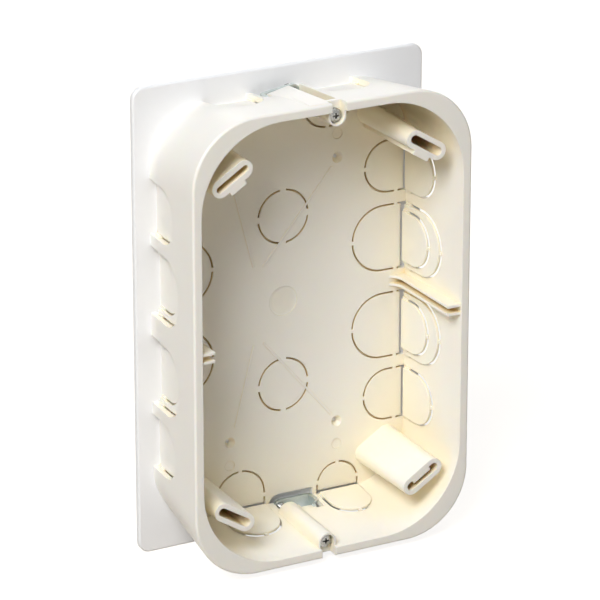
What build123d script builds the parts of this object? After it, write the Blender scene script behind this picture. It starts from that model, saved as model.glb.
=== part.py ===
from build123d import *
import os

# Flush-mounting junction box for hollow walls, moulded in one piece, with its cover plate
# standing behind it and two fixing screws that carry sheet-metal claws.
# Millimetres, +Z up, the open front faces -Y. The origin is under the middle of the whole set.

# Box shell, outside
box_width = 110.0
box_height = 170.0
box_depth = 40.0
rim_corner = 24.5
back_width = 103.2
back_height = 158.8
back_corner = 24.0
rim_edge_round = 0.8

# Box shell, inside
rim_thickness = 3.4
rim_inner_corner = 30.7
back_edge_wall = 1.6
back_inner_corner = 22.4
back_wall = 2.0

# Cover plate
cover_margin = 2.6
cover_thickness = 2.0
cover_corner = 4.5
cover_edge_chamfer = 0.5
cover_skin = 1.3
cover_turned_edge = 1.4

# Knockouts: thin panels stepped inwards from the wall, held by small bridges
panel_step = 1.0
panel_slit = 0.7
back_slit = 0.7
bridge_width = 1.4
bridge_overlap = 0.15
bridge_thickness = 1.0
panel_end_gap = 1.0
panel_end_bridge = 3.5
back_bridge_inset = 4.0
back_web = 0.4

small_radius = 9.8
large_radius = 12.35
narrow_radius = 8.3
side_small_height = 44.1
side_large_height = 16.9
side_small_reach = 19.6
side_large_reach = 24.2
side_inner_reach = 17.8
back_small_reach = 16.8
back_large_reach = 21.7

end_wide_offset = -17.7
end_narrow_offset = 22.3
end_wide_reach = 20.2
end_narrow_reach = 17.6
end_wide_back_reach = 15.0
end_narrow_back_reach = 10.9

# Round knockouts and small marks in the back wall
circle_radius = 9.95
circle_height = 32.1
circle_bridge = 2.3
pilot_spread_x = 21.9
pilot_spread_z = 50.7
pilot_radius = 0.8
pilot_cone_radius = 2.1
pilot_cone_angle = 70
mark_depth = 0.25
gate_mark_radius = 5.6
ejector_mark_radius = 2.0
ejector_mark_height = 59.6
line_width = 0.8
line_height = 0.2

# Corner posts for the cover's screws
post_length = 17.2
post_width = 6.8
post_x = 38.1
post_z = 62.9
post_tilt = 32.0
post_setback = 3.0
post_base_growth = 0.5
post_slot_length = 14.0
post_slot_narrow = 2.4
post_slot_wide = 3.1
post_slot_depth = 29.0
post_slot_tab_length = 8.0
post_slot_tab = 1.3
post_rib_length = 6.8
post_rib_proud = 1.6

# Partition rails, a pair of fins at mid-height on each side
rail_spacing = 3.0
rail_thickness = 1.0
rail_reach = 46.4
rail_front_setback = 0.6
rail_tip_setback = 0.8
rail_foot = 4.5
rail_foot_reach = 43.4

# Fixing screws, their tunnels and the claws
screw_offset = 1.77
screw_height = 79.5
tunnel_front_radius = 3.45
tunnel_rear_radius = 4.25
tunnel_front_setback = 1.5
tunnel_end = 31.0
notch_radius = 2.75
head_setback = 2.55
head_radius = 2.6
head_height = 1.8
head_edge_round = 0.7
head_recess_width = 0.8
head_recess_length = 3.4
head_recess_depth = 0.9
shank_radius = 1.7
screw_clearance = 0.05
tip_setback = 0.4
seat_thickness = 2.1
channel_half_width = 2.15
claw_thickness = 1.4
claw_half_height = 2.7
claw_length = 12.8
claw_flange = 4.5
claw_bend = 1.6
claw_tooth = 1.2
claw_clearance = 0.3
top_claw_front = 33.6
top_claw_tilt = 8.0
bottom_claw_front = 36.8
bottom_claw_tilt = 0.0
cutout_end = 13.7
cutout_rise = 4.7
flange_notch_start = 10.6
arm_pocket_start = 5.5
arm_pocket_front = 29.5
land_front = 2.0
land_half_width = 3.45
land_reach = 10.4
land_front_height = 5.3
land_front_foot = 3.0
land_rear_height = 2.7
land_rear_low = 0.9
land_rear_foot = 0.4

# Derived sizes
mid_height = cover_margin + box_height / 2
front_y = -(box_depth + cover_thickness) / 2
back_y = front_y + box_depth
floor_y = back_y - back_wall
rim_inner_width = box_width - 2 * rim_thickness
rim_inner_height = box_height - 2 * rim_thickness
back_inner_width = back_width - 2 * back_edge_wall
back_inner_height = back_height - 2 * back_edge_wall
cover_width = box_width + 2 * cover_margin
cover_height = box_height + 2 * cover_margin
past_wall = 3 * rim_thickness
cutout_start = top_claw_front - claw_clearance
cutout_radius = claw_half_height + claw_clearance
flange_notch_front = cutout_start - claw_flange
head_seat = head_setback + head_height + screw_clearance


def section(depth):
    """Upright plane across the box, as seen from the front, at a depth behind the rim."""
    return Plane(origin=(0, front_y + depth, mid_height), x_dir=(1, 0, 0), z_dir=(0, -1, 0))


def corner_point(side_x, side_z):
    """Middle of the inner back edge along the wall on the given side."""
    return (side_x * back_inner_width / 2, floor_y, mid_height + side_z * back_inner_height / 2)


def wall_plane(side_x, side_z):
    """Inner face of a drafted wall: local Y runs to the front, local Z points outwards."""
    rim = abs(side_x) * rim_inner_width + abs(side_z) * rim_inner_height
    back = abs(side_x) * back_inner_width + abs(side_z) * back_inner_height
    draft = (rim - back) / 2 / (box_depth - back_wall)
    return Plane(
        origin=corner_point(side_x, side_z),
        x_dir=(-side_z, 0, side_x),
        z_dir=(side_x, draft, side_z),
    )


def back_plane(side_x, side_z):
    """Inner face of the back wall: local Y runs from the given wall towards the middle."""
    return Plane(origin=corner_point(side_x, side_z), x_dir=(-side_z, 0, side_x), z_dir=(0, -1, 0))


def screw_plane(end, depth):
    """Plane across a screw: local X points to the claw's side, local Y into the box."""
    return Plane(
        origin=(end * screw_offset, front_y + depth, mid_height + end * screw_height),
        x_dir=(-end, 0, 0),
        z_dir=(0, -1, 0),
    )


def arch(radius, reach, start):
    """Face with two straight sides and a round end, from local Y = start to reach."""
    with BuildSketch(Plane.XY, mode=Mode.PRIVATE) as outline:
        with BuildLine():
            shoulder = reach - radius
            Polyline((-radius, shoulder), (-radius, start), (radius, start), (radius, shoulder))
            ThreePointArc((radius, shoulder), (0, reach), (-radius, shoulder))
        make_face()
    return outline.sketch


# Faint lines on the back wall: start and end in the upper half, repeated in the lower half
lines = [((-11.9, 15.0), (-19.6, 45.0)), ((-8.1, 14.5), (19.6, 47.5))]

# Where the knockouts sit: side of the box, place along the wall, radius and reach of each
# step on the wall, and the reach of the half on the back wall
small = [(small_radius, side_small_reach)]
large = [(large_radius, side_large_reach), (small_radius, side_inner_reach)]
knockouts = []
for side in (-1, 1):
    for height, steps, back_reach in (
        (side_small_height, small, back_small_reach),
        (side_large_height, large, back_large_reach),
    ):
        knockouts.append((side, 0, height, steps, back_reach))
        knockouts.append((side, 0, -height, steps, back_reach))
for end in (-1, 1):
    wide = [(small_radius, end_wide_reach)]
    narrow = [(narrow_radius, end_narrow_reach)]
    knockouts.append((0, end, end_wide_offset, wide, end_wide_back_reach))
    knockouts.append((0, end, end_narrow_offset, narrow, end_narrow_back_reach))

# Corner posts: place, tilt, slot width, whether a rib runs down the inner side, and whether a
# tab narrows the middle of the slot
posts = [
    (-post_x, post_z, post_tilt, post_slot_narrow, True, False),
    (post_x, post_z, -post_tilt, post_slot_wide, True, False),
    (-post_x, -post_z, -post_tilt, post_slot_wide, False, False),
    (post_x, -post_z, post_tilt, post_slot_wide, False, True),
]

# The hollow of the box, with the posts, rails and screw tunnels left standing in it
with BuildPart() as hollow:
    with BuildSketch(section(0)):
        RectangleRounded(rim_inner_width, rim_inner_height, rim_inner_corner)
    with BuildSketch(section(box_depth - back_wall)):
        RectangleRounded(back_inner_width, back_inner_height, back_inner_corner)
    loft(ruled=True)

    post_height = box_depth - back_wall - post_setback
    for x, z, tilt, slot, ribbed, tabbed in posts:
        with BuildSketch(section(post_setback)):
            with Locations(Location((x, z), (0, 0, tilt))):
                SlotOverall(post_length, post_width)
        with BuildSketch(section(box_depth - back_wall)):
            with Locations(Location((x, z), (0, 0, tilt))):
                SlotOverall(post_length + 2 * post_base_growth, post_width + 2 * post_base_growth)
        loft(ruled=True, mode=Mode.SUBTRACT)
        if ribbed:
            with BuildSketch(section(post_setback)):
                with Locations(Location((x, z), (0, 0, tilt))):
                    with Locations((0, -post_width / 2)):
                        Rectangle(post_rib_length, 2 * post_rib_proud)
            extrude(amount=-post_height, mode=Mode.SUBTRACT)

    for level in (-1, 1):
        rail_bottom = mid_height + level * rail_spacing / 2 - rail_thickness / 2
        with BuildSketch(Plane.XY.offset(rail_bottom)):
            with BuildLine():
                Polyline(
                    (rail_foot_reach, floor_y),
                    (box_width / 2, floor_y),
                    (box_width / 2, front_y + rail_front_setback),
                    (rim_inner_width / 2, front_y + rail_front_setback),
                    (rail_reach, front_y + rail_tip_setback),
                    (rail_reach, floor_y - rail_foot),
                )
                TangentArc((rail_reach, floor_y - rail_foot), (rail_foot_reach, floor_y), tangent=(0, 1))
            make_face()
            mirror(about=Plane.YZ)
        extrude(amount=rail_thickness, mode=Mode.SUBTRACT)

    for end in (-1, 1):
        with BuildSketch(screw_plane(end, tunnel_front_setback)):
            add(arch(tunnel_front_radius, tunnel_front_radius, -past_wall))
        with BuildSketch(screw_plane(end, tunnel_end)):
            add(arch(tunnel_rear_radius, tunnel_rear_radius, -past_wall))
        loft(ruled=True, mode=Mode.SUBTRACT)

with BuildPart() as box_body:
    with BuildSketch(section(0)):
        RectangleRounded(box_width, box_height, rim_corner)
    with BuildSketch(section(box_depth)):
        RectangleRounded(back_width, back_height, back_corner)
    loft(ruled=True)
    fillet(box_body.faces().sort_by(Axis.Y)[0].edges(), rim_edge_round)
    add(hollow.part, mode=Mode.SUBTRACT)

    # Faint raised lines and round mould marks on the inside of the back wall
    with BuildSketch(section(box_depth - back_wall)):
        for up in (-1, 1):
            for (start_x, start_z), (end_x, end_z) in lines:
                with BuildLine():
                    Line((start_x, up * start_z), (end_x, up * end_z))
                trace(line_width=line_width)
    extrude(amount=line_height)
    with BuildSketch(section(box_depth - back_wall)):
        Circle(gate_mark_radius)
        with GridLocations(2 * pilot_spread_x, 2 * ejector_mark_height, 2, 2):
            Circle(ejector_mark_radius)
    extrude(amount=-mark_depth, mode=Mode.SUBTRACT)
    with Locations(section(box_depth - back_wall)):
        with GridLocations(2 * pilot_spread_x, 2 * pilot_spread_z, 2, 2):
            CounterSinkHole(
                radius=pilot_radius,
                counter_sink_radius=pilot_cone_radius,
                depth=back_wall - back_web,
                counter_sink_angle=pilot_cone_angle,
            )

    # Grooves around the two round knockouts
    with BuildSketch(section(box_depth - back_wall)):
        with GridLocations(0, 2 * circle_height, 1, 2):
            Circle(circle_radius + back_slit / 2)
            Circle(circle_radius - back_slit / 2, mode=Mode.SUBTRACT)
            Rectangle(circle_bridge, 4 * circle_radius - 2 * circle_bridge, mode=Mode.SUBTRACT)
            Rectangle(3 * circle_radius, circle_bridge, mode=Mode.SUBTRACT)
    extrude(amount=back_web - back_wall, mode=Mode.SUBTRACT)

    # Each step of a knockout is an opening, then a panel one step further in, then bridges
    for level in (0, 1):
        stepped = [knockout for knockout in knockouts if len(knockout[3]) > level]
        for side_x, side_z, place, steps, back_reach in stepped:
            radius, reach = steps[level]
            with BuildSketch(wall_plane(side_x, side_z).offset(-level * panel_step)):
                with Locations((place, 0)):
                    add(arch(radius + panel_slit / 2, reach + panel_slit / 2, -2 * back_wall))
        extrude(amount=past_wall, mode=Mode.SUBTRACT)
        for side_x, side_z, place, steps, back_reach in stepped:
            radius, reach = steps[level]
            with BuildSketch(wall_plane(side_x, side_z).offset(-level * panel_step)):
                with Locations((place, 0)):
                    add(arch(radius - panel_slit / 2, reach - panel_slit / 2, panel_end_gap))
        extrude(amount=-panel_step)
        for side_x, side_z, place, steps, back_reach in stepped:
            radius, reach = steps[level]
            with BuildSketch(wall_plane(side_x, side_z).offset(-level * panel_step)):
                with Locations((place, reach)):
                    Rectangle(bridge_width, panel_slit + 2 * bridge_overlap)
                with Locations((place, panel_end_gap + panel_end_bridge / 2)):
                    with GridLocations(2 * radius, 0, 2, 1):
                        Rectangle(panel_slit + 2 * bridge_overlap, panel_end_bridge)
        extrude(amount=bridge_thickness / 2, both=True)

    # Open slots along the back edge, where the wall's half meets the back wall's half
    for side_x, side_z, place, steps, back_reach in knockouts:
        with BuildSketch(wall_plane(side_x, side_z).offset(-len(steps) * panel_step)):
            with Locations((place, -back_wall)):
                Rectangle(2 * steps[0][0] + panel_slit, 2 * back_wall)
    extrude(amount=past_wall, mode=Mode.SUBTRACT)

    # Grooves around the back wall's halves
    for side_x, side_z, place, steps, back_reach in knockouts:
        radius = steps[0][0]
        with BuildSketch(back_plane(side_x, side_z)):
            with Locations((place, 0)):
                add(arch(radius + back_slit / 2, back_reach + back_slit / 2, 0))
                add(arch(radius - back_slit / 2, back_reach - back_slit / 2, 0), mode=Mode.SUBTRACT)
            with Locations((place, back_reach)):
                Rectangle(bridge_width, 4 * back_slit, mode=Mode.SUBTRACT)
            with Locations((place, back_bridge_inset)):
                Rectangle(3 * radius, bridge_width, mode=Mode.SUBTRACT)
    extrude(amount=back_web - back_wall, mode=Mode.SUBTRACT)

    # Slots in the corner posts
    with BuildSketch(section(post_setback)):
        for x, z, tilt, slot, ribbed, tabbed in posts:
            with Locations(Location((x, z), (0, 0, tilt))):
                SlotOverall(post_slot_length, slot)
                if tabbed:
                    with Locations((0, slot / 2)):
                        Rectangle(post_slot_tab_length, 2 * post_slot_tab, mode=Mode.SUBTRACT)
    extrude(amount=-post_slot_depth, mode=Mode.SUBTRACT)

    # Raised lands on the outside, beside the screw channels, that rise from the wall to the rear
    for end in (-1, 1):
        for depth, top, low, foot in (
            (land_front, land_front_height, land_front_height, land_front_foot),
            (cutout_start, land_rear_height, land_rear_low, land_rear_foot),
        ):
            with BuildSketch(screw_plane(end, depth)):
                with BuildLine():
                    Polyline(
                        (-land_half_width, -foot),
                        (-land_half_width, -top),
                        (channel_half_width, -top),
                        (land_reach, -low),
                        (land_reach, -foot),
                        close=True,
                    )
                make_face()
        loft(ruled=True)

    # Screw seats and open channels, then the claws' cut-outs with notches for their bent ends
    for end in (-1, 1):
        with BuildSketch(screw_plane(end, 0)):
            Circle(notch_radius)
            with Locations((0, -past_wall / 2)):
                Rectangle(2 * notch_radius, past_wall)
    extrude(amount=-head_seat, mode=Mode.SUBTRACT)
    for end in (-1, 1):
        with BuildSketch(screw_plane(end, head_seat)):
            Circle(shank_radius + screw_clearance)
    extrude(amount=-2 * seat_thickness, mode=Mode.SUBTRACT)
    for end in (-1, 1):
        with BuildSketch(screw_plane(end, head_seat + seat_thickness)):
            Circle(channel_half_width)
            with Locations((0, -past_wall / 2)):
                Rectangle(2 * channel_half_width, past_wall)
    extrude(amount=-box_depth, mode=Mode.SUBTRACT)
    for end in (-1, 1):
        with BuildSketch(screw_plane(end, cutout_start)):
            Circle(cutout_radius)
            with Locations((-cutout_radius, 0)):
                Rectangle(cutout_radius + cutout_end, past_wall, align=(Align.MIN, Align.MAX))
            Rectangle(cutout_end, cutout_rise, align=(Align.MIN, Align.MIN))
    extrude(amount=-box_depth, mode=Mode.SUBTRACT)
    for end in (-1, 1):
        with BuildSketch(screw_plane(end, flange_notch_front)):
            with Locations(((flange_notch_start + cutout_end) / 2, 0)):
                Rectangle(cutout_end - flange_notch_start, past_wall)
    extrude(amount=-claw_flange, mode=Mode.SUBTRACT)
    for end in (-1, 1):
        with BuildSketch(screw_plane(end, arm_pocket_front)):
            with Locations((arm_pocket_start, 0)):
                Rectangle(cutout_end - arm_pocket_start, cutout_rise, align=(Align.MIN, Align.MIN))
    extrude(amount=arm_pocket_front - cutout_start, mode=Mode.SUBTRACT)
    for end in (-1, 1):
        with BuildSketch(screw_plane(end, box_depth - back_wall)):
            Circle(cutout_rise)
            with Locations((0, cutout_rise)):
                Rectangle(cutout_end, past_wall, align=(Align.MIN, Align.MAX))
    extrude(amount=-2 * back_wall, mode=Mode.SUBTRACT)

with BuildPart() as cover_plate:
    with BuildSketch(section(box_depth)):
        RectangleRounded(cover_width, cover_height, cover_corner)
    extrude(amount=-cover_thickness)
    chamfer(cover_plate.faces().sort_by(Axis.Y)[0].edges(), cover_edge_chamfer)
    with BuildSketch(section(box_depth + cover_thickness)):
        RectangleRounded(
            cover_width - 2 * cover_turned_edge,
            cover_height - 2 * cover_turned_edge,
            cover_corner - cover_turned_edge,
        )
    extrude(amount=cover_thickness - cover_skin, mode=Mode.SUBTRACT)


def build_screw(end):
    """Pan-head screw with a combined recess, lying along the box's depth."""
    with BuildPart() as screw:
        with BuildSketch(screw_plane(end, head_setback)):
            Circle(head_radius)
        extrude(amount=-head_height)
        fillet(screw.faces().sort_by(Axis.Y)[0].edges(), head_edge_round)
        with BuildSketch(screw_plane(end, head_setback + head_height)):
            Circle(shank_radius)
        extrude(amount=-(box_depth - tip_setback - head_setback - head_height))
        chamfer(screw.faces().sort_by(Axis.Y)[-1].edges(), shank_radius / 4)
        with BuildSketch(screw_plane(end, head_setback)):
            Rectangle(head_recess_length, head_recess_width)
            Rectangle(head_recess_width, head_recess_length)
        extrude(amount=-head_recess_depth, mode=Mode.SUBTRACT)
    return screw.part


def build_claw(end, claw_front, tilt):
    """Sheet-metal claw on its screw, its toothed end bent to the front, tilted into the box."""
    with BuildPart() as claw:
        with BuildSketch(screw_plane(end, claw_front)):
            Circle(claw_half_height)
            with Locations((claw_length / 2, 0)):
                Rectangle(claw_length, 2 * claw_half_height)
        extrude(amount=-claw_thickness)
        with BuildSketch(screw_plane(end, claw_front - claw_flange)):
            with Locations((claw_length - claw_thickness / 2, 0)):
                Rectangle(claw_thickness, 2 * claw_half_height)
        extrude(amount=-(claw_flange + claw_thickness))
        outer_bend = claw.edges().filter_by(Axis.Z).sort_by(
            lambda edge: -end * edge.center().X + edge.center().Y
        )[-1]
        fillet(outer_bend, claw_bend)
        with BuildSketch(screw_plane(end, claw_front)):
            Circle(shank_radius + screw_clearance)
        extrude(amount=-claw_thickness, mode=Mode.SUBTRACT)
        # A notch leaves two teeth on the bent end
        notch_plane = Plane(
            origin=screw_plane(end, claw_front - claw_flange).from_local_coords((claw_length, 0, 0)),
            x_dir=(0, 0, -end),
            z_dir=(-end, 0, 0),
        )
        with BuildSketch(notch_plane):
            with Locations(Rotation(0, 0, 45)):
                Rectangle(2 * claw_tooth, 2 * claw_tooth)
        extrude(amount=-claw_thickness, mode=Mode.SUBTRACT)
    screw_axis = Axis(screw_plane(end, 0).origin, (0, -1, 0))
    return claw.part.rotate(screw_axis, tilt)


pieces = {
    "box_body": box_body.part,
    "cover_plate": cover_plate.part,
    "bottom_screw": build_screw(-1),
    "top_screw": build_screw(1),
    "bottom_claw": build_claw(-1, bottom_claw_front, bottom_claw_tilt),
    "top_claw": build_claw(1, top_claw_front, top_claw_tilt),
}

os.makedirs("parts", exist_ok=True)
for name, piece in pieces.items():
    piece.label = name
    export_step(piece, f"parts/{name}.step")
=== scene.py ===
"""A flush-mounting junction box with its cover plate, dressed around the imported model.

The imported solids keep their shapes. This script gives each a procedural finish, puts threaded
and recessed screws in place of the plain ones, and sets the studio and the camera.
"""

import logging
import math
from dataclasses import dataclass
from enum import Enum
from typing import Any

import bmesh
import bpy
from mathutils import Matrix, Vector


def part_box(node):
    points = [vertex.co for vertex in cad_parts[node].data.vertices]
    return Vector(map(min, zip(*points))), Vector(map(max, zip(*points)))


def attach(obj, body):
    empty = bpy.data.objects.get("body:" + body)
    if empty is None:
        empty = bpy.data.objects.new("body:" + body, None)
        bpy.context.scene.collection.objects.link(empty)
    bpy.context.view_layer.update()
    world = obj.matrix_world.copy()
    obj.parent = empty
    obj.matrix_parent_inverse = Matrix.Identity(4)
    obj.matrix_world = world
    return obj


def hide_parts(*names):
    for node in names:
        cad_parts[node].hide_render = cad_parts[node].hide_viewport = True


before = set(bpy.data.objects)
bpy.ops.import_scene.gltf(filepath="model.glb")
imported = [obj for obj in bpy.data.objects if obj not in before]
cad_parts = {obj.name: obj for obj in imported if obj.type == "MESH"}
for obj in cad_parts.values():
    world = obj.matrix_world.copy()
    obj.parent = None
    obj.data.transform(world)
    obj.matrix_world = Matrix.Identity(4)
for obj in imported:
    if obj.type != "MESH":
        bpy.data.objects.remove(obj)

MM = 0.001
Colour = tuple[float, float, float]
LOG = logging.getLogger("junction_box")
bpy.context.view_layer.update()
COVER_SAMPLES = 12
EDGE_SAMPLES = 6
MERGE_DISTANCE = 0.002 * MM


def linear(red: int, green: int, blue: int) -> Colour:
    """Turn a colour as written on screen into the linear one that shaders use.

    Args:
        red: Red, 0 to 255.
        green: Green, 0 to 255.
        blue: Blue, 0 to 255.

    Returns:
        The linear colour.
    """
    shares = (channel / 255 for channel in (red, green, blue))
    return tuple(s / 12.92 if s <= 0.04045 else ((s + 0.055) / 1.055) ** 2.4 for s in shares)


class End(Enum):
    """The two ends of the box that carry a fixing screw and a claw."""

    TOP = "top"
    BOTTOM = "bottom"


class Wire:
    """A shader socket that takes part in Python arithmetic."""

    def __init__(self, graph: "Graph", socket: bpy.types.NodeSocket) -> None:
        """Keep the graph and the socket.

        Args:
            graph: The graph that the socket is in.
            socket: The output socket that this wire starts at.
        """
        self.graph = graph
        self.socket = socket

    def __add__(self, other: "Wire | float") -> "Wire":
        """Add a wire or a number."""
        return self.graph.maths("ADD", self, other)

    def __sub__(self, other: "Wire | float") -> "Wire":
        """Take a wire or a number away."""
        return self.graph.maths("SUBTRACT", self, other)

    def __rsub__(self, other: float) -> "Wire":
        """Take this wire away from a number."""
        return self.graph.maths("SUBTRACT", other, self)

    def __mul__(self, other: "Wire | float") -> "Wire":
        """Multiply by a wire or a number."""
        return self.graph.maths("MULTIPLY", self, other)

    __radd__ = __add__
    __rmul__ = __mul__


class Graph:
    """A node graph, written as expressions on its sockets."""

    def __init__(self, owner: bpy.types.Material | bpy.types.World) -> None:
        """Start an empty graph.

        Args:
            owner: The material or the world that the graph belongs to.
        """
        owner.use_nodes = True
        self.owner = owner
        self.tree = owner.node_tree
        self.tree.nodes.clear()

    def node(self, kind: str, settings: dict[str, Any], **inputs: Any) -> bpy.types.Node:
        """Add a node.

        Args:
            kind: The node's type.
            settings: Its properties by name.
            **inputs: Its sockets, each a value or a wire. They go by name, with underscores for
                spaces, or by place, as in _0.

        Returns:
            The node.
        """
        node = self.tree.nodes.new(kind)
        for name, value in settings.items():
            setattr(node, name, value)
        for name, value in inputs.items():
            key = int(name[1:]) if name[0] == "_" else name.replace("_", " ")
            self.join(node.inputs[key], value)
        return node

    def join(self, socket: bpy.types.NodeSocket, value: Any) -> None:
        """Set a socket or link a wire to it.

        Args:
            socket: The socket.
            value: A wire, a number, a colour or a vector.
        """
        if isinstance(value, Wire):
            self.tree.links.new(value.socket, socket)
        elif socket.type == "RGBA" and len(value) == 3:
            socket.default_value = (*value, 1.0)
        else:
            socket.default_value = value

    def wire(self, node: bpy.types.Node, output: str | int = 0) -> Wire:
        """The wire that leaves a node's output."""
        return Wire(self, node.outputs[output])

    def maths(self, operation: str, first: Any, second: Any) -> Wire:
        """Add a Math node.

        Args:
            operation: The node's operation.
            first: The first value or wire.
            second: The second value or wire.

        Returns:
            The result's wire.
        """
        return self.wire(self.node("ShaderNodeMath", {"operation": operation}, _0=first, _1=second))

    def places(self) -> Wire:
        """The surface's own place in the row frame."""
        return self.wire(self.node("ShaderNodeTexCoord", {}), "Object")

    def noise(self, size: float, detail: float = 2.0, roughness: float = 0.5) -> Wire:
        """Soft noise.

        Args:
            size: How large its patches are, in metres.
            detail: How many finer layers it has.
            roughness: How strong those are.

        Returns:
            The noise's height, around a half.
        """
        node = self.node(
            "ShaderNodeTexNoise", {},
            Vector=self.places(), Scale=1 / size, Detail=detail, Roughness=roughness,
        )
        return self.wire(node)

    def blend(self, share: Any, first: Any, second: Any) -> Wire:
        """Mix two colours.

        Args:
            share: How much of the second there is.
            first: The first colour.
            second: The second colour.

        Returns:
            The mixed colour.
        """
        mixed = self.node("ShaderNodeMix", {"data_type": "RGBA"}, _0=share, _6=first, _7=second)
        return self.wire(mixed, 2)

    def ramp(self, value: Wire, start: float, full: float) -> Wire:
        """Turn a range of values into a soft share.

        Args:
            value: The value.
            start: Where the share begins.
            full: Where it is complete.

        Returns:
            The share, from nought to one.
        """
        soft = self.node(
            "ShaderNodeMapRange", {"interpolation_type": "SMOOTHSTEP"},
            Value=value, From_Min=start, From_Max=full, To_Min=0.0, To_Max=1.0,
        )
        return self.wire(soft)

    def covered(self, reach: float) -> Wire:
        """How much of its view the surface loses to other surfaces of the same piece.

        Args:
            reach: How far away those surfaces count, in metres.

        Returns:
            Nought in the open, one deep in a gap.
        """
        settings = {"samples": COVER_SAMPLES, "only_local": True}
        hidden = self.node("ShaderNodeAmbientOcclusion", settings, Distance=reach)
        return 1.0 - self.wire(hidden, "AO")

    def rounded(self, edge_radius: float, height: Wire) -> Wire:
        """Softened edges with a relief on top.

        Args:
            edge_radius: How far the light softens each edge, in metres.
            height: The relief's height, in metres.

        Returns:
            The surface's normal.
        """
        edge = self.wire(self.node("ShaderNodeBevel", {"samples": EDGE_SAMPLES}, Radius=edge_radius))
        bump = self.node("ShaderNodeBump", {}, Strength=1.0, Distance=1.0, Height=height, Normal=edge)
        return self.wire(bump)

    def finish(self, **inputs: Any) -> bpy.types.Material:
        """Join the inputs to a surface shader and close the material.

        Args:
            **inputs: The surface shader's sockets.

        Returns:
            The material that the graph belongs to.
        """
        shader = self.node("ShaderNodeBsdfPrincipled", {}, **inputs)
        self.node("ShaderNodeOutputMaterial", {}, Surface=self.wire(shader))
        return self.owner


@dataclass(frozen=True)
class GateMark:
    """The round mark where the plastic entered the mould: a shallow dish, slightly darker."""

    centre: Vector
    colour: Colour = linear(236, 220, 184)
    radius: float = 5.6 * MM
    edge: float = 1.4 * MM
    depth: float = 0.12 * MM
    weight: float = 0.14

    def share(self, graph: Graph) -> Wire:
        """Where the mark is.

        Args:
            graph: The material's graph.

        Returns:
            One inside the mark, nought outside it.
        """
        settings = {"operation": "DISTANCE"}
        away = graph.node("ShaderNodeVectorMath", settings, _0=graph.places(), _1=tuple(self.centre))
        return graph.ramp(graph.wire(away, "Value"), self.radius, self.radius - self.edge)


@dataclass(frozen=True)
class MouldedPlastic:
    """Satin moulded plastic, a little translucent, with the fine grain of its mould, and painted shade:
    tints blended in where the piece hides its own view, in its hollows, crevices and narrow gaps.
    """

    name: str
    colour: Colour
    flow_colour: Colour
    roughness: float
    edge_radius: float
    glow_weight: float
    glow_reach: float
    glow_tint: Colour
    # Painted shade: the three colours below stand in for warm bounce light and shadow in hollows, ochre
    # shade in crevices and dark shade in narrow gaps and slits.
    hollow_shade_colour: Colour
    crevice_shade_colour: Colour
    gap_shade_colour: Colour
    hollow_reach: float = 60 * MM
    hollow_start: float = 0.25
    hollow_full: float = 0.55
    crevice_reach: float = 6.0 * MM
    crevice_start: float = 0.55
    crevice_full: float = 0.9
    gap_start: float = 0.88
    gap_full: float = 1.0
    flow_size: float = 45 * MM
    grain_size: float = 0.35 * MM
    grain_height: float = 0.012 * MM
    sheen_change: float = 0.10
    specular_level: float = 0.45

    def material(self, mark: GateMark | None = None) -> bpy.types.Material:
        """Build the material.

        Args:
            mark: The gate mark, if the moulding shows one.

        Returns:
            The material.
        """
        graph = Graph(bpy.data.materials.new(self.name))
        flow = graph.noise(self.flow_size, detail=3.0, roughness=0.55)
        grain = graph.noise(self.grain_size, detail=2.0, roughness=0.6)
        open_colour = graph.blend(flow, self.colour, self.flow_colour)
        # Painted shade: a warmer, darker tint where the piece's own walls hide much of the view.
        hollow = graph.ramp(graph.covered(self.hollow_reach), self.hollow_start, self.hollow_full)
        hollow_shaded_colour = graph.blend(hollow, open_colour, self.hollow_shade_colour)
        height = grain * self.grain_height
        if mark:
            share = mark.share(graph)
            hollow_shaded_colour = graph.blend(share * mark.weight, hollow_shaded_colour, mark.colour)
            height = height - share * mark.depth
        # Painted shade: an ochre tint in crevices, then a dark tint in the narrowest gaps and slits.
        near = graph.covered(self.crevice_reach)
        crevice = graph.ramp(near, self.crevice_start, self.crevice_full)
        shaded_colour = graph.blend(crevice, hollow_shaded_colour, self.crevice_shade_colour)
        gap = graph.ramp(near, self.gap_start, self.gap_full)
        unevenness = (flow - 0.5) + (grain - 0.5)
        return graph.finish(
            Base_Color=graph.blend(gap, shaded_colour, self.gap_shade_colour),
            Roughness=self.roughness + unevenness * self.sheen_change,
            Normal=graph.rounded(self.edge_radius, height),
            Subsurface_Weight=self.glow_weight,
            Subsurface_Radius=self.glow_tint,
            Subsurface_Scale=self.glow_reach,
            Specular_IOR_Level=self.specular_level,
        )


@dataclass(frozen=True)
class PlatedSteel:
    """Plated steel with fine rolling or turning marks and a blotchy second colour, which is the plating's
    own cloud when pale and painted dark reflection when near black.
    """

    name: str
    colour: Colour
    cloud_and_reflection_colour: Colour
    roughness: float
    edge_radius: float
    cloud_size: float = 3 * MM
    mark_size: float = 0.25 * MM
    mark_height: float = 0.01 * MM
    roughness_change: float = 0.22

    def material(self) -> bpy.types.Material:
        """Build the material.

        Returns:
            The material.
        """
        graph = Graph(bpy.data.materials.new(self.name))
        cloud = graph.noise(self.cloud_size, detail=4.0, roughness=0.6)
        marks = graph.noise(self.mark_size, detail=3.0, roughness=0.6)
        return graph.finish(
            # The second colour is plating cloud on the zinc and painted dark reflection on the screw
            # steel.
            Base_Color=graph.blend(cloud, self.colour, self.cloud_and_reflection_colour),
            Metallic=1.0,
            Roughness=self.roughness + (cloud - 0.5) * self.roughness_change,
            Normal=graph.rounded(self.edge_radius, marks * self.mark_height),
        )


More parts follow.
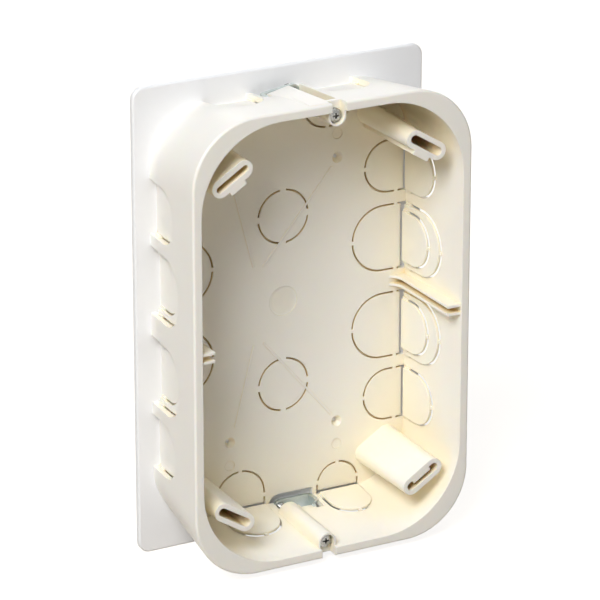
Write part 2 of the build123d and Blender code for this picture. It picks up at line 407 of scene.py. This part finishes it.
CREAM_PLASTIC = MouldedPlastic(
    name="cream_plastic",
    colour=linear(252, 250, 244),
    flow_colour=linear(251, 248, 240),
    roughness=0.42,
    edge_radius=0.35 * MM,
    glow_weight=0.25,
    glow_reach=1.6 * MM,
    glow_tint=(1.0, 0.72, 0.42),
    # Painted shade: the hollow, crevice and gap colours are shaded tints of the cream, not colours of the
    # plastic itself.
    hollow_shade_colour=linear(250, 241, 219),
    crevice_shade_colour=linear(240, 220, 168),
    gap_shade_colour=linear(176, 132, 72),
)
WHITE_PLASTIC = MouldedPlastic(
    name="white_plastic",
    colour=linear(248, 249, 252),
    flow_colour=linear(245, 247, 251),
    roughness=0.36,
    edge_radius=0.5 * MM,
    glow_weight=0.2,
    glow_reach=1.5 * MM,
    glow_tint=(1.0, 0.95, 0.9),
    hollow_shade_colour=linear(248, 249, 252),
    # Painted shade: grey in crevices and darker grey in narrow gaps; the hollow colour is the plate's own
    # white.
    crevice_shade_colour=linear(236, 236, 236),
    gap_shade_colour=linear(170, 168, 165),
)
ZINC_PLATE = PlatedSteel(
    name="zinc_plate",
    colour=linear(226, 232, 230),
    cloud_and_reflection_colour=linear(190, 201, 199),
    roughness=0.42,
    edge_radius=0.2 * MM,
)
# Painted reflection: the near-black cloud colour stands in for dark surroundings mirrored in the bright
# screw steel.
SCREW_STEEL = PlatedSteel(
    name="screw_steel",
    colour=linear(214, 214, 210),
    cloud_and_reflection_colour=linear(64, 63, 61),
    roughness=0.24,
    edge_radius=0.08 * MM,
    cloud_size=0.9 * MM,
)


def as_object(mesh: bmesh.types.BMesh, name: str) -> bpy.types.Object:
    """Put a finished bmesh in the scene.

    Args:
        mesh: The bmesh, which is freed.
        name: The object's name.

    Returns:
        The object, at the origin.
    """
    data = bpy.data.meshes.new(name)
    mesh.to_mesh(data)
    mesh.free()
    piece = bpy.data.objects.new(name, data)
    bpy.context.scene.collection.objects.link(piece)
    return piece


def dress(piece: bpy.types.Object, material: bpy.types.Material) -> None:
    """Give a piece its material and log its face count.

    Args:
        piece: The piece.
        material: Its material.
    """
    piece.data.materials.clear()
    piece.data.materials.append(material)
    LOG.info("dressed %s: %d faces", piece.name, len(piece.data.polygons))


@dataclass
class MouldedBox:
    """The one-piece box moulding, as packed."""

    node: str = "box_body"
    back_wall: float = 2.0 * MM

    def build(self) -> None:
        """Dress the moulding in cream plastic, with its gate mark inside the back wall."""
        low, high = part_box(self.node)
        mark = GateMark(Vector(((low.x + high.x) / 2, high.y - self.back_wall, (low.z + high.z) / 2)))
        dress(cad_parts[self.node], CREAM_PLASTIC.material(mark))


@dataclass
class CoverPlate:
    """The flat cover that stands behind the box, as packed."""

    node: str = "cover_plate"

    def build(self) -> None:
        """Dress the plate in white plastic."""
        dress(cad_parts[self.node], WHITE_PLASTIC.material())


@dataclass
class Claw:
    """A bent sheet-metal claw, as packed."""

    end: End

    def build(self, material: bpy.types.Material) -> None:
        """Dress the claw.

        Args:
            material: The zinc plate's material.
        """
        dress(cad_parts[f"{self.end.value}_claw"], material)


@dataclass
class FixingScrew:
    """A pan-head machine screw with a combined recess and a rolled thread.

    It lies along Y, its head to the front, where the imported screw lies.
    """

    end: End
    head_height: float = 1.8 * MM
    head_crown: float = 0.35 * MM
    head_edge: float = 0.55 * MM
    thread_start: float = 4.5 * MM
    thread_pitch: float = 0.7 * MM
    thread_depth: float = 0.32 * MM
    thread_sink: float = 0.03 * MM
    crest_share: float = 0.08
    tip_length: float = 0.8 * MM
    tip_share: float = 0.6
    cross_arm: float = 1.3125 * MM
    cross_width: float = 0.85 * MM
    cross_depth: float = 1.3 * MM
    slot_arm: float = 1.75 * MM
    slot_width: float = 0.75 * MM
    slot_depth: float = 0.55 * MM
    inner_arm_share: float = 0.62
    inner_width_share: float = 0.7
    shank_radius: float = 1.7 * MM
    crown_steps: int = 6
    edge_steps: int = 5
    round_steps: int = 48
    thread_steps: int = 20

    def __post_init__(self) -> None:
        """Read the screw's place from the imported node."""
        low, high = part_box(self.node)
        self.centre = Vector(((low.x + high.x) / 2, 0.0, (low.z + high.z) / 2))
        self.face = low.y
        self.tip = high.y
        self.head_radius = (high.x - low.x) / 2

    @property
    def node(self) -> str:
        """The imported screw's name."""
        return f"{self.end.value}_screw"

    def turned(self, profile: list[tuple[float, float]]) -> bmesh.types.BMesh:
        """Turn a profile about the screw's axis.

        Args:
            profile: Radius and depth of each point, from the front of the axis to its back.

        Returns:
            The closed turned shape.
        """
        mesh = bmesh.new()
        points = [mesh.verts.new(self.centre + Vector((radius, depth, 0.0))) for radius, depth in profile]
        edges = [mesh.edges.new(pair) for pair in zip(points, points[1:])]
        bmesh.ops.spin(
            mesh,
            geom=[*points, *edges],
            cent=self.centre,
            axis=(0.0, 1.0, 0.0),
            angle=2 * math.pi,
            steps=self.round_steps,
            use_merge=True,
        )
        bmesh.ops.remove_doubles(mesh, verts=mesh.verts[:], dist=MERGE_DISTANCE)
        bmesh.ops.recalc_face_normals(mesh, faces=mesh.faces[:])
        return mesh

    def head_profile(self) -> list[tuple[float, float]]:
        """The head's and the shank's section, with a low crown and a rounded rim.

        Returns:
            Radius and depth of each point, from the front of the axis to its back.
        """
        radius, edge, face = self.head_radius, self.head_edge, self.face
        profile = []
        for step in range(self.crown_steps + 1):
            share = step / self.crown_steps
            profile.append(((radius - edge) * share, face + self.head_crown * share * share))
        for step in range(1, self.edge_steps + 1):
            angle = math.pi / 2 * step / self.edge_steps
            profile.append((
                radius - edge + edge * math.sin(angle),
                face + self.head_crown + edge * (1 - math.cos(angle)),
            ))
        core = self.shank_radius - self.thread_depth
        back = face + self.head_height
        start = face + self.thread_start
        end = self.tip - self.tip_length
        profile += [(radius, back), (self.shank_radius, back), (self.shank_radius, start)]
        profile += [(core, start + self.thread_depth), (core, end)]
        profile += [(core * self.tip_share, self.tip), (0.0, self.tip)]
        return profile

    def cutter(self, width: float, arm: float, depth: float, turn: float) -> bmesh.types.BMesh:
        """A wedge that narrows inwards, for one bar of the recess.

        Args:
            width: The bar's width at the face.
            arm: Half the bar's length.
            depth: How deep it goes.
            turn: Its turn about the axis.

        Returns:
            The wedge.
        """
        mesh = bmesh.new()
        bmesh.ops.create_cube(mesh, size=1.0)
        bmesh.ops.scale(mesh, vec=(2 * arm, 2 * depth, width), verts=mesh.verts[:])
        inner = [vert for vert in mesh.verts if vert.co.y > 0]
        bmesh.ops.scale(mesh, vec=(self.inner_arm_share, 1.0, self.inner_width_share), verts=inner)
        bmesh.ops.rotate(mesh, matrix=Matrix.Rotation(turn, 3, "Y"), verts=mesh.verts[:])
        bmesh.ops.translate(mesh, vec=self.centre + Vector((0.0, self.face, 0.0)), verts=mesh.verts[:])
        return mesh

    def thread(self) -> bmesh.types.BMesh:
        """The rolled thread: one ridge's section carried round and along the shank.

        Returns:
            The thread, open on the inside, where it meets the core.
        """
        mesh = bmesh.new()
        core = self.shank_radius - self.thread_depth
        start = self.face + self.thread_start
        turns = int((self.tip - self.tip_length - start) / self.thread_pitch) - 1
        sunk = core - self.thread_sink
        crest = self.thread_pitch / 2
        flat = self.thread_pitch * self.crest_share
        section = [(sunk, 0.0), (self.shank_radius, crest - flat), (self.shank_radius, crest + flat)]
        section.append((sunk, self.thread_pitch))
        points = [mesh.verts.new(self.centre + Vector((radius, start + y, 0.0))) for radius, y in section]
        edges = [mesh.edges.new(pair) for pair in zip(points, points[1:])]
        bmesh.ops.spin(
            mesh,
            geom=[*points, *edges],
            cent=self.centre,
            axis=(0.0, 1.0, 0.0),
            dvec=(0.0, self.thread_pitch / self.thread_steps, 0.0),
            angle=2 * math.pi * turns,
            steps=self.thread_steps * turns,
            use_merge=False,
        )
        bmesh.ops.remove_doubles(mesh, verts=mesh.verts[:], dist=MERGE_DISTANCE)
        bmesh.ops.recalc_face_normals(mesh, faces=mesh.faces[:])
        return mesh

    def recess(self, piece: bpy.types.Object) -> None:
        """Cut the cross and the slot into the head.

        Args:
            piece: The turned screw.
        """
        bars = [
            (self.cross_width, self.cross_arm, self.cross_depth, 0.0),
            (self.cross_width, self.cross_arm, self.cross_depth, math.pi / 2),
            (self.slot_width, self.slot_arm, self.slot_depth, 0.0),
        ]
        for bar in bars:
            tool = as_object(self.cutter(*bar), "recess_tool")
            cut = piece.modifiers.new("recess", "BOOLEAN")
            cut.operation = "DIFFERENCE"
            cut.solver = "EXACT"
            cut.object = tool
            evaluated = piece.evaluated_get(bpy.context.evaluated_depsgraph_get())
            data = bpy.data.meshes.new_from_object(evaluated)
            piece.modifiers.clear()
            piece.data = data
            bpy.data.objects.remove(tool)

    def build(self, material: bpy.types.Material) -> None:
        """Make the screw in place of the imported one.

        Args:
            material: The screw steel's material.
        """
        screw = as_object(self.turned(self.head_profile()), f"{self.node}_shank")
        self.recess(screw)
        thread = as_object(self.thread(), f"{self.node}_thread")
        for piece in (screw, thread):
            dress(piece, material)
            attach(piece, f"{self.node}_body")
        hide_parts(self.node)


@dataclass(frozen=True)
class Lamp:
    """A soft square lamp: its name, its place and side in metres, and its power in watts."""

    name: str
    place: tuple[float, float, float]
    size: float
    power: float

    def hang(self, target: Vector) -> None:
        """Hang the lamp so that it points at the target.

        Args:
            target: The point that it lights.
        """
        data = bpy.data.lights.new(self.name, "AREA")
        data.size = self.size
        data.energy = self.power
        lamp = bpy.data.objects.new(self.name, data)
        bpy.context.scene.collection.objects.link(lamp)
        lamp.location = self.place
        lamp.rotation_mode = "QUATERNION"
        lamp.rotation_quaternion = (target - Vector(self.place)).to_track_quat("-Z", "Y")


LAMPS = (
    Lamp(name="key", place=(-1.2, -1.0, 1.45), size=0.95, power=39.0),
    Lamp(name="top", place=(0.1, -0.5, 2.0), size=1.2, power=5.0),
    Lamp(name="rear", place=(0.9, 1.7, 1.1), size=1.2, power=9.0),
)


@dataclass
class Studio:
    """The floor, the lamps, the sky and the camera."""

    floor_size: float = 12.0
    floor_colour: Colour = (0.48, 0.43, 0.36)
    floor_lift: float = 0.85
    sky_light: float = 0.06
    azimuth: float = -28.38
    elevation: float = 20.83
    distance: float = 1.377
    lens: float = 238.3
    sensor: float = 36.0
    nearest: float = 0.05
    furthest: float = 50.0
    aim_x: float = -13.71 * MM
    aim_rise: float = 15.58 * MM

    def __post_init__(self) -> None:
        """Aim at the plane of the box's front."""
        low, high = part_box("box_body")
        self.target = Vector((self.aim_x, low.y, (low.z + high.z) / 2 + self.aim_rise))

    def seen(self, graph: Graph) -> Wire:
        """Find the rays that see the backdrop as white: camera, glossy and transmission ones.

        Args:
            graph: The graph of the backdrop's material or world.

        Returns:
            One for those rays, nought for all others.
        """
        path = graph.node("ShaderNodeLightPath", {})
        rays = [graph.wire(path, f"Is {kind} Ray") for kind in ("Camera", "Glossy", "Transmission")]
        return graph.maths("MINIMUM", rays[0] + rays[1] + rays[2], 1.0)

    def floor(self) -> None:
        """Lay a plain pale floor that keeps the object's shadow."""
        mesh = bmesh.new()
        bmesh.ops.create_grid(mesh, x_segments=1, y_segments=1, size=self.floor_size / 2)
        floor = as_object(mesh, "floor")
        graph = Graph(bpy.data.materials.new("floor"))
        matt = graph.node("ShaderNodeBsdfDiffuse", {}, Color=self.floor_colour)
        lift = graph.node(
            "ShaderNodeEmission", {}, Color=(1.0, 1.0, 1.0), Strength=self.seen(graph) * self.floor_lift
        )
        both = graph.node("ShaderNodeAddShader", {}, _0=graph.wire(matt), _1=graph.wire(lift))
        graph.node("ShaderNodeOutputMaterial", {}, Surface=graph.wire(both))
        floor.data.materials.append(graph.owner)

    def sky(self) -> None:
        """A plain white sky, brighter where it is seen than where it lights."""
        world = bpy.data.worlds.new("sky")
        bpy.context.scene.world = world
        graph = Graph(world)
        seen = self.seen(graph)
        strength = seen + (1.0 - seen) * self.sky_light
        back = graph.node("ShaderNodeBackground", {}, Color=(1.0, 1.0, 1.0), Strength=strength)
        graph.node("ShaderNodeOutputWorld", {}, Surface=graph.wire(back))

    def camera(self) -> None:
        """Set the camera at the photograph's angle."""
        turn, tilt = math.radians(self.azimuth), math.radians(self.elevation)
        back = Vector((math.sin(turn) * math.cos(tilt), -math.cos(turn) * math.cos(tilt), math.sin(tilt)))
        data = bpy.data.cameras.new("camera")
        data.lens = self.lens
        data.sensor_width = self.sensor
        data.clip_start = self.nearest
        data.clip_end = self.furthest
        camera = bpy.data.objects.new("camera", data)
        bpy.context.scene.collection.objects.link(camera)
        camera.location = self.target + back * self.distance
        camera.rotation_mode = "QUATERNION"
        camera.rotation_quaternion = (-back).to_track_quat("-Z", "Y")
        bpy.context.scene.camera = camera

    def build(self) -> None:
        """Build the studio."""
        bpy.context.scene.view_settings.view_transform = "Standard"
        self.floor()
        self.sky()
        for lamp in LAMPS:
            lamp.hang(self.target)
        self.camera()
        LOG.info("studio ready")


def main() -> None:
    """Build every piece in order, logging each dressed piece's face count."""
    logging.basicConfig(level=logging.INFO, format="%(message)s")
    MouldedBox().build()
    CoverPlate().build()
    zinc = ZINC_PLATE.material()
    steel = SCREW_STEEL.material()
    for end in End:
        Claw(end).build(zinc)
        FixingScrew(end).build(steel)
    Studio().build()


if __name__ == "__main__":
    main()
